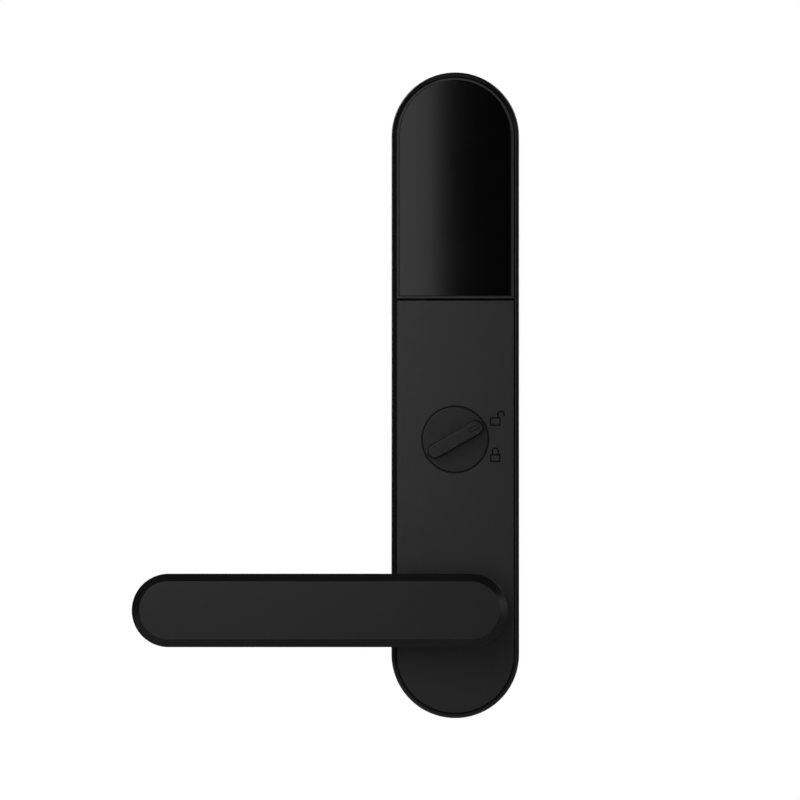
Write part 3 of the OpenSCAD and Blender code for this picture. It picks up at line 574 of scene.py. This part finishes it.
def stand(across, up, out):
    """Points drawn flat as across, up and out from the door, in mm, in the frame's metres."""
    return np.stack(np.broadcast_arrays(across, -np.asarray(out, float), up), -1) * MM


def grid_faces(rows, columns):
    """Four-sided faces of a grid whose columns go round and whose last column meets the first."""
    r, c = np.meshgrid(np.arange(rows - 1), np.arange(columns), indexing="ij")
    n = (c + 1) % columns
    return np.stack([r * columns + c, r * columns + n,
                     (r + 1) * columns + n, (r + 1) * columns + c], -1).reshape(-1, 4)


def build(name, points, faces=None, along=None):
    """A mesh object from a grid of points, welded, facing outwards and smooth but for edges."""
    if faces is None:
        faces = grid_faces(*points.shape[:2])
    mesh = bpy.data.meshes.new(name)
    mesh.from_pydata(points.reshape(-1, 3).tolist(), [], faces.tolist())
    if along is not None:
        attribute = mesh.attributes.new("along", "FLOAT", "POINT")
        attribute.data.foreach_set("value", along.astype(np.float32).ravel())
    weld = bmesh.new()
    weld.from_mesh(mesh)
    bmesh.ops.remove_doubles(weld, verts=weld.verts, dist=1e-7)
    bmesh.ops.dissolve_degenerate(weld, edges=weld.edges, dist=1e-7)
    bmesh.ops.recalc_face_normals(weld, faces=weld.faces)
    open_edges = sum(not edge.is_manifold for edge in weld.edges)
    weld.to_mesh(mesh)
    weld.free()
    obj = bpy.data.objects.new(name, mesh)
    bpy.context.scene.collection.objects.link(obj)
    smooth(obj)
    print(f"{name}: {len(mesh.polygons)} faces, {open_edges} open edges")
    return obj


def smooth(obj):
    """Shades a mesh smooth, with hard edges where two faces meet at a real corner."""
    obj.data.shade_smooth()
    obj.data.set_sharp_from_angle(angle=SHARP)


def dress(obj, body, slot, *stands_for):
    """Gives a piece its finish, its body and the CAD parts that it stands for."""
    obj.data.materials.clear()
    obj.data.materials.append(finishes[slot])
    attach(obj, body)
    if stands_for:
        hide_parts(*stands_for)
    return obj


def cut_away(obj, cutter):
    """Takes the cutter's shape out of a piece with a Boolean, whose result is kept."""
    modifier = obj.modifiers.new("cut", "BOOLEAN")
    modifier.operation = "DIFFERENCE"
    modifier.object = cutter
    modifier.solver = "EXACT"
    solid = obj.evaluated_get(bpy.context.evaluated_depsgraph_get())
    obj.data = bpy.data.meshes.new_from_object(solid)
    obj.modifiers.clear()
    bpy.data.objects.remove(cutter)
    smooth(obj)


# %% [markdown]
# A real edge is a small arc. This helper takes the corners of a profile and turns each on an
# arc of its own radius: it steps back from the corner by the tangent length and swings round
# the arc's centre. It adds one more point a little way off each end of the arc, which keeps
# the flat faces beside it shading flat.


# %% Round the corners of a profile
def soften(corners, radii, steps=5, hold=0.12):
    """Points of an open profile with its inner corners turned on arcs of the given radii."""
    corners = np.array(corners, float)
    points = [corners[0]]
    for before, corner, after, radius in zip(corners, corners[1:], corners[2:], radii):
        back = (before - corner) / np.linalg.norm(before - corner)
        on = (after - corner) / np.linalg.norm(after - corner)
        if radius == 0:
            points.append(corner)
            continue
        half = math.acos(np.clip(back @ on, -1, 1)) / 2
        reach = radius / math.tan(half)
        centre = corner + (back + on) / np.linalg.norm(back + on) * radius / math.sin(half)
        a = corner + back * reach - centre
        b = corner + on * reach - centre
        sweep = math.pi - 2 * half
        t = np.linspace(0, 1, steps + 1)[:, None]
        arc = (np.sin((1 - t) * sweep) * a + np.sin(t * sweep) * b) / math.sin(sweep)
        points += [corner + back * (reach + hold), *(centre + arc), corner + on * (reach + hold)]
    points.append(corners[-1])
    return np.array(points)


# %% [markdown]
# ## Oblongs seen from inside
#
# The grip and the finger bar are oblongs, and each grows out of a round part. To make both
# in one closed skin, the oblong and the circle need the same number of points, each pair in
# the same direction from the middle. On the round ends the points are spaced evenly, and on
# the straight sides they are spaced by even angles: at height r above the middle, a ray at
# angle phi meets the side at r / tan(phi).


# %% Match an oblong with a circle
def oblong_frame(left, right, r, ends=40, sides=34):
    """Arc centres, outward directions and ray angles round an oblong about the origin."""
    turn = np.linspace(-math.pi / 2, math.pi / 2, ends)
    near = np.arctan2(r, right)
    far = np.arctan2(r, left)
    rays = np.linspace(near, far, sides + 2)[1:-1]
    straight = r / np.tan(rays)
    centre = np.concatenate([np.full(ends, right), straight, np.full(ends, left), straight[::-1]])
    angle = np.concatenate([turn, np.full(sides, math.pi / 2), turn + math.pi,
                            np.full(sides, -math.pi / 2)])
    outward = np.stack([np.cos(angle), np.sin(angle)])
    ray = np.arctan2(r * outward[1], centre + r * outward[0])
    return centre, outward, ray


def oblong_rows(shape, profile):
    """Rows of an oblong skin: arc centre plus radius times direction, for each profile point."""
    centre, outward, ray = shape
    radius = profile[:, :1]
    return centre + radius * outward[0], radius * outward[1], profile[:, 1:]


def round_rows(shape, profile):
    """Rows of a round skin in the same directions: radius times the ray's cosine and sine."""
    radius = profile[:, :1]
    return radius * np.cos(shape[2]), radius * np.sin(shape[2]), profile[:, 1:]


def square_rows(shape, half, outs, clip, turned=0.0):
    """Rows of a square hole: half its width over the larger of cosine and sine, clipped."""
    ray = shape[2] + turned
    reach = half / np.maximum(np.abs(np.cos(ray)), np.abs(np.sin(ray)))
    outs = np.array(outs, float)[:, None]
    reach = np.minimum(reach, clip) + 0 * outs
    return reach * np.cos(shape[2]), reach * np.sin(shape[2]), outs


def web_rows(inner, outer, count=4):
    """Rows across a flat web, in even steps from the last inner row to the first outer row."""
    t = np.linspace(0, 1, count + 2)[1:-1, None]
    across = (1 - t) * inner[0][-1] + t * outer[0][0]
    up = (1 - t) * inner[1][-1] + t * outer[1][0]
    return across, up, np.full_like(t, inner[2][-1][0])


def join_rows(*parts):
    """One grid from several sets of rows, as across, up and out."""
    columns = parts[-1][0].shape[1]
    return [np.concatenate([np.broadcast_to(part[k], (len(part[2]), columns)) for part in parts])
            for k in range(3)]


# %% [markdown]
# ## The lever
#
# The grip is a flat bar with round ends, milled from one piece with its neck. A broad bevel
# runs round the front face and a small one round the back. The skin starts at the blind end
# of the square hole for the spindle, comes out to the back of the neck, runs along the neck
# with its groove for the retaining ring, flares into the back of the grip, and closes on the
# centre line of the front face.

# %% Build the lever
low, high = box_mm("lever")
grip_r = high[2]
grip_front = -low[1]
GRIP_T = 13.0
grip_back = grip_front - GRIP_T
BEVEL = 4.1
BACK_EDGE = 1.2
NECK_R = 11.0
NECK_BACK = 17.0
BORE_HALF = 4.0
BORE_END = 44.5
CORNER_CLIP = 1.34
GROOVE_R, GROOVE_FROM, GROOVE_TO = 9.8, 18.7, 19.8
FLARE = (4.0, 6.0)
lever_shape = oblong_frame(low[0] + grip_r, high[0] - grip_r, grip_r)
bore = square_rows(lever_shape, BORE_HALF, (BORE_END, NECK_BACK), BORE_HALF * CORNER_CLIP)
swing = np.linspace(0, math.pi / 2, 12)
flare = np.stack([NECK_R + FLARE[0] * (1 - np.cos(swing)),
                  grip_back - FLARE[1] * (1 - np.sin(swing))], 1)
stem = soften([(9.0, NECK_BACK), (NECK_R, NECK_BACK), (NECK_R, GROOVE_FROM),
               (GROOVE_R, GROOVE_FROM), (GROOVE_R, GROOVE_TO), (NECK_R, GROOVE_TO),
               (NECK_R, 21.0)], (0.3, 0.1, 0, 0, 0.1))
neck = round_rows(lever_shape, np.concatenate([stem, flare]))
edge_profile = soften([(grip_r - 4, grip_back), (grip_r, grip_back), (grip_r, grip_front - BEVEL),
                       (grip_r - BEVEL, grip_front), (0, grip_front)],
                      (BACK_EDGE, 0.5, 0.45), 7, 0.3)
grip = oblong_rows(lever_shape, edge_profile)
pole = [np.zeros_like(bore[0][:1]), np.zeros_like(bore[1][:1]), np.array([[BORE_END]])]
across, up, outs = join_rows(pole, bore, neck, web_rows(neck, grip), grip)
lever = build("lever_skin", stand(across, up, outs))

# %% [markdown]
# A grub screw clamps the spindle from below, through a hole in the neck. A plain round pin,
# made of rings along its axis, is cut away from the neck with a Boolean.


# %% Cut the grub screw's hole
def pin(name, centre_line, radius, sides=32):
    """A closed round pin along two end points in mm: rings of radius round its axis."""
    start, end = (np.array(p, float) for p in centre_line)
    way = (end - start) / np.linalg.norm(end - start)
    side = np.cross(way, (0.31, 0.52, 0.79))
    side /= np.linalg.norm(side)
    other = np.cross(way, side)
    turn = np.linspace(0, 2 * math.pi, sides, endpoint=False)[:, None]
    ring = radius * (np.cos(turn) * side + np.sin(turn) * other)
    rows = np.stack([start + 0 * ring, start + ring, end + ring, end + 0 * ring])
    return build(name, stand(rows[..., 0], rows[..., 1], rows[..., 2]))


GRUB_OUT = 32.0
GRUB_R = 2.5
cut_away(lever, pin("grub_hole", ((0, -NECK_R - 2, GRUB_OUT), (0, -2.0, GRUB_OUT)), GRUB_R))
dress(lever, "lever_set", "satin_black_metal", "lever")
print("grip", round(float(high[0] - low[0]), 1), "by", round(float(2 * grip_r), 1), "mm")

# %% [markdown]
# ## The thumbturn
#
# The knob is a disc that lies flush in the front plate, with a finger bar standing on it.
# Its skin starts in the square drive hole at the back, runs round the boss, the flange and
# the disc, and climbs the slightly drafted sides of the bar to its rounded top. The bar
# points up to the right at rest, so the finished rows are turned about the knob's centre.

# %% Build the knob
low, high = box_mm("thumbturn_knob")
knob_up = (low[2] + high[2]) / 2
bar_top = -low[1]
disc_out = FACE_OUT / MM
BAR_HALF = 16.7
BAR_R = 4.15
DRAFT = 0.5
DRIVE_HALF = 3.1
DRIVE_END, BOSS_BACK, FLANGE_BACK, FLANGE_FRONT = 20.6, 16.6, 19, 20.5
BOSS_R, FLANGE_R, DISC_R = 7, 19.5, 17.6
REST_TURN = math.radians(30)
reach = BAR_HALF - BAR_R
knob_shape = oblong_frame(-reach, reach, BAR_R, 32, 36)
drive = square_rows(knob_shape, DRIVE_HALF, (DRIVE_END, BOSS_BACK), 3 * DRIVE_HALF, REST_TURN)
disc_profile = soften([(BOSS_R - 1.5, BOSS_BACK), (BOSS_R, BOSS_BACK), (BOSS_R, FLANGE_BACK),
                       (FLANGE_R, FLANGE_BACK), (FLANGE_R, FLANGE_FRONT), (DISC_R, FLANGE_FRONT),
                       (DISC_R, disc_out), (DISC_R - 0.7, disc_out)],
                      (0.2, 0.2, 0.2, 0.2, 0, 0.32))
disc = round_rows(knob_shape, disc_profile)
bar_profile = soften([(BAR_R + 0.4, disc_out), (BAR_R, disc_out), (BAR_R - DRAFT, bar_top),
                      (0, bar_top)], (0.2, 0.38), 7, 0.1)
bar = oblong_rows(knob_shape, bar_profile)
pole = [np.zeros_like(drive[0][:1]), np.zeros_like(drive[1][:1]), np.array([[DRIVE_END]])]
across, up, outs = join_rows(pole, drive, disc, web_rows(disc, bar), bar)


def turned(across, up, angle=REST_TURN):
    """Rows turned by an angle about the knob's centre and raised to its height."""
    return (across * math.cos(angle) - up * math.sin(angle),
            across * math.sin(angle) + up * math.cos(angle) + knob_up)


knob = build("thumbturn_skin", stand(*turned(across, up), outs))

# %% [markdown]
# A pill-shaped marker near one end of the bar shows which way it points. It is a shallow
# pocket with a slightly smaller pill glued in, so a fine dark line runs round it.

# %% Sink the marker
MARK_AT = 11.8
MARK_HALF = 2.05
MARK_R = 1.2
POCKET = 1.0


def pill(name, radius, profile):
    """A closed pill on the bar: a profile of insets and heights carried round an oblong."""
    shape = oblong_frame(-MARK_HALF, MARK_HALF, radius, 20, 6)
    rows = oblong_rows(shape, np.array(profile, float) * (-1, 1) + (radius, 0))
    return build(name, stand(*turned(rows[0] + MARK_AT, rows[1]),
                             np.broadcast_to(rows[2], rows[0].shape)))


floor_out = bar_top - POCKET
cut_away(knob, pill("pocket", MARK_R, [(MARK_R, floor_out), (0, floor_out), (0, bar_top + 1),
                                       (MARK_R, bar_top + 1)]))
dress(knob, "thumbturn", "satin_black_metal", "thumbturn_knob")
GROOVE = 0.4
mark_r = MARK_R - GROOVE
mark_top = bar_top - 0.06
marker_profile = soften([(mark_r, floor_out), (0, floor_out), (0, mark_top), (mark_r, mark_top)],
                        (0, 0.15), 4, 0.03)
marker = pill("marker_skin", mark_r, marker_profile)
dress(marker, "thumbturn", "satin_black_metal", "indicator_inlay")

# %% [markdown]
# ## The window
#
# The window is a slab of black acrylic let into the cover's frame. Its outline is an arch: a
# half circle on two straight sides, with small corners at the foot. Its front edge is eased
# over, and each row is the outline moved inwards by the profile's inset.


# %% Build the window
def arch(half, foot, spring_line, corner, top_points=72, corner_points=6):
    """Points and outward directions round an arch: half circle, sides and rounded feet."""
    top = np.linspace(0, math.pi, top_points)
    left = np.linspace(math.pi, 1.5 * math.pi, corner_points)
    right = np.linspace(1.5 * math.pi, 2 * math.pi, corner_points)
    angle = np.concatenate([top, left, right])
    outward = np.stack([np.cos(angle), np.sin(angle)])
    radius = np.concatenate([np.full(top_points, half), np.full(2 * corner_points, corner)])
    centre_x = np.concatenate([np.zeros(top_points), np.full(corner_points, corner - half),
                               np.full(corner_points, half - corner)])
    centre_up = np.concatenate([np.full(top_points, spring_line),
                                np.full(2 * corner_points, foot + corner)])
    return np.stack([centre_x, centre_up]) + radius * outward, outward


FOOT_R = 0.9
INSET, RIM_FLAT = 0.05, 0.8
low, high = box_mm("cover_glass")
half = high[0]
outline, outward = arch(half, low[2], high[2] - half, FOOT_R)
middle = np.array([[0.0], [(low[2] + high[2]) / 2]])
slab = soften([(RIM_FLAT, -high[1]), (INSET, -high[1]), (INSET, -low[1]), (RIM_FLAT, -low[1])],
              (0.1, 0.35), 6)
rows = outline[:, None, :] - slab[:, 0][None, :, None] * outward[:, None, :]
centre_row = np.broadcast_to(middle[:, None, :], (2, 1, outline.shape[1]))
rows = np.concatenate([centre_row, rows, centre_row], 1)
outs = np.concatenate([[-high[1]], slab[:, 1], [-low[1]]])[:, None]
glass = build("window_skin", stand(rows[0], rows[1], outs))
dress(glass, "cover", "gloss_black_window", "cover_glass")

# %% [markdown]
# ## Cells
#
# Each cell is a steel can with a raised stud, and a shrunk sleeve that leaves only the ends
# bare. Both are turned profiles: radius and distance along the cell, carried round its axis.
# The sleeve also stores how far along it each point is, for its printed bands.


# %% Build the cells
def turned_piece(name, node, stud_up, profile, along=False, sides=64):
    """A profile of radius and distance from the flat end, turned about a cell's own axis."""
    low, high = box_mm(node)
    middle = (low + high) / 2
    turn = np.linspace(0, 2 * math.pi, sides, endpoint=False)
    across = middle[0] + profile[:, :1] * np.cos(turn)
    outs = -middle[1] + profile[:, :1] * np.sin(turn)
    up = low[2] + profile[:, 1:] if stud_up else high[2] - profile[:, 1:]
    share = np.broadcast_to(profile[:, 1:] / (high[2] - low[2]), across.shape)
    return build(name, stand(across, up, outs), None, share if along else None)


can_profile = soften([(0, 0.25), (4.8, 0.25), (5.4, 0), (6.6, 0), (7.05, 0.7), (7.05, 48.8),
                      (6.5, 49.4), (3.4, 49.4), (2.7, 49.5), (2.7, 50.5), (0, 50.5)],
                     (0.3, 0.3, 0.4, 0.5, 0.5, 0.4, 0.3, 0.2, 0.5), 4, 0.05)
sleeve_profile = soften([(6.2, 0.02), (6.9, 0.02), (7.25, 0.5), (7.25, 49.0), (6.9, 49.52),
                         (6.0, 49.52), (6.0, 49.42), (6.6, 49.42), (7.1, 48.8), (7.1, 0.6),
                         (6.8, 0.1), (6.2, 0.1), (6.2, 0.02)],
                        (0.2, 0.3, 0.4, 0.3, 0.02, 0.02, 0.1, 0.3, 0.3, 0.1, 0.02), 4, 0.01)
for number in (1, 2, 3, 4):
    node = f"battery_{number}"
    stud_up = number % 2 == 1
    can = turned_piece(f"cell_{number}_can", node, stud_up, can_profile)
    dress(can, "escutcheon", "nickel_contact", node)
    wrap = turned_piece(f"cell_{number}_sleeve", node, stud_up, sleeve_profile, True)
    dress(wrap, "escutcheon", "cell_wrap")

# %% [markdown]
# ## Springs and leads
#
# A spring is a round wire carried along a helix, and a lead is a round sleeve carried along
# a smooth curve through a few chosen points. Both use the same tube: at each point of the
# path, a ring of points lies in the plane of two directions that are square to the path.


# %% Carry a round section along a path
def tube(name, path, side, other, radius, sides=16):
    """Rings at each path point: radius times cos and sin along the two square directions."""
    turn = np.linspace(0, 2 * math.pi, sides, endpoint=False)[None, :, None]
    ring = radius * (np.cos(turn) * side[:, None, :] + np.sin(turn) * other[:, None, :])
    middle = np.broadcast_to(path[:, None, :], ring.shape)
    rows = np.concatenate([middle[:1], middle + ring, middle[-1:]])
    return build(name, stand(rows[..., 0], rows[..., 1], rows[..., 2]))


def coil(name, base, axis, radii, wire, turns, pitch, start=0.0):
    """A helix about axis from base, whose radius runs between two values."""
    axis = np.array(axis, float)
    first = np.cross(axis, (1, 0, 0) if abs(axis[0]) < 0.5 else (0, 1, 0))
    second = np.cross(axis, first)
    t = np.linspace(0, 1, int(turns * 48) + 1)[:, None]
    angle = start + t * turns * 2 * math.pi
    side = np.cos(angle) * first + np.sin(angle) * second
    radius = radii[0] + (radii[1] - radii[0]) * t
    path = np.array(base, float) + radius * side + t * turns * pitch * axis
    return tube(name, path, side, np.broadcast_to(axis, side.shape), wire / 2)


# %% [markdown]
# A conical spring presses on the flat end of each cell. It is wide where it sits on the
# contact plate and narrow where it meets the cell, so that it can close up flat.

# %% Build the contact springs
WIRE = 0.8
CONTACT_TURNS = 3
CONTACT_RADII = (4.6, 2.8)
SPARE = 0.15
low, high = box_mm("contact_springs")
for number in (1, 2, 3, 4):
    cell_low, cell_high = box_mm(f"battery_{number}")
    x, deep = (cell_low + cell_high)[:2] / 2
    rises = number % 2 == 1
    base = low[2] + WIRE / 2 if rises else high[2] - WIRE / 2
    gap = cell_low[2] - low[2] if rises else high[2] - cell_high[2]
    pitch = (gap - WIRE - SPARE) / CONTACT_TURNS
    spring = coil(f"contact_spring_{number}", (x, base, -deep), (0, 1 if rises else -1, 0),
                  CONTACT_RADII, WIRE, CONTACT_TURNS, pitch)
    dress(spring, "escutcheon", "nickel_contact", *(["contact_springs"] if number == 1 else []))

# %% [markdown]
# The return spring winds round the lever's hub inside its cup and turns the lever level
# again. One straight leg stands in a slot in the cup and the other in a hole in the hub, so
# the coils wind up a little as the lever goes down.

# %% Build the return spring
COIL_R = 9.6
COIL_WIRE = 1.2
COIL_TURNS = 4.25
COIL_PITCH = 1.2
COIL_BACK = 7.6
COIL_FRONT = 12.7
t = np.linspace(0, 1, 205)[:, None]
angle = -math.pi / 2 + t * COIL_TURNS * 2 * math.pi
side = np.concatenate([np.cos(angle), np.sin(angle), 0 * angle], 1)
coils = COIL_R * side + t * COIL_TURNS * COIL_PITCH * np.array((0, 0, 1)) + (0, 0, COIL_BACK)
tail_out = np.array([(0, -12.9, COIL_BACK), (0, -10.6, COIL_BACK)])
tail_in = np.array([(8.6, 0, COIL_FRONT), (5.8, 0, COIL_FRONT)])
path = np.concatenate([tail_out, coils, tail_in])
flow = np.gradient(path, axis=0)
flow /= np.linalg.norm(flow, axis=1, keepdims=True)
other = np.broadcast_to((0, 0, 1.0), path.shape) - flow * flow[:, 2:]
other /= np.linalg.norm(other, axis=1, keepdims=True)
spring = tube("return_spring_wire", path, np.cross(flow, other), other, COIL_WIRE / 2)
spring.data.materials.append(finishes["spring_steel"])
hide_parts("return_spring")
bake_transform(spring)

# %% [markdown]
# Two thin leads run inside the housing, from the motor up to the board and from the battery
# tray down to it. Their routes are the ones that the CAD was made with, as across, up and
# out from the door.

# %% Build the leads
MOTOR_LEAD = [(-27.2, 56, 16.3), (-28.6, 57, 16.3), (-29, 62, 16.3), (-29, 80, 16.4),
              (-29, 100, 16.4), (-28.6, 110, 16), (-25, 116.5, 14), (-18, 118.5, 11.5),
              (-13, 119.2, 10.4), (-12, 121.4, 10.2)]
BATTERY_LEAD = [(-10, 178.9, 9), (-10, 176, 9), (-12, 172.5, 9.6), (-12, 169, 10),
                (-10, 166.5, 10.2), (-10, 163.6, 10.2)]
LEAD_R = 0.8


def lead(name, route):
    """A lead along a Catmull-Rom curve: each stretch mixes its four nearest route points."""
    route = np.array(route, float)
    points = np.concatenate([route[:1], route, route[-1:]])
    t = np.linspace(0, 1, 8, endpoint=False)[:, None, None]
    a, b, c, d = points[:-3], points[1:-2], points[2:-1], points[3:]
    curve = 0.5 * (2 * b + (c - a) * t + (2 * a - 5 * b + 4 * c - d) * t ** 2
                   + (3 * b - a - 3 * c + d) * t ** 3)
    path = np.concatenate([curve.transpose(1, 0, 2).reshape(-1, 3), route[-1:]])
    flow = np.gradient(path, axis=0)
    flow /= np.linalg.norm(flow, axis=1, keepdims=True)
    side = np.cross(flow, (0, 0, 1.0))
    side /= np.linalg.norm(side, axis=1, keepdims=True)
    return tube(name, path, side, np.cross(side, flow), LEAD_R)


dress(lead("motor_lead_sleeve", MOTOR_LEAD), "escutcheon", "lead_sleeve", "motor_lead")
dress(lead("battery_lead_sleeve", BATTERY_LEAD), "escutcheon", "lead_sleeve", "battery_lead")
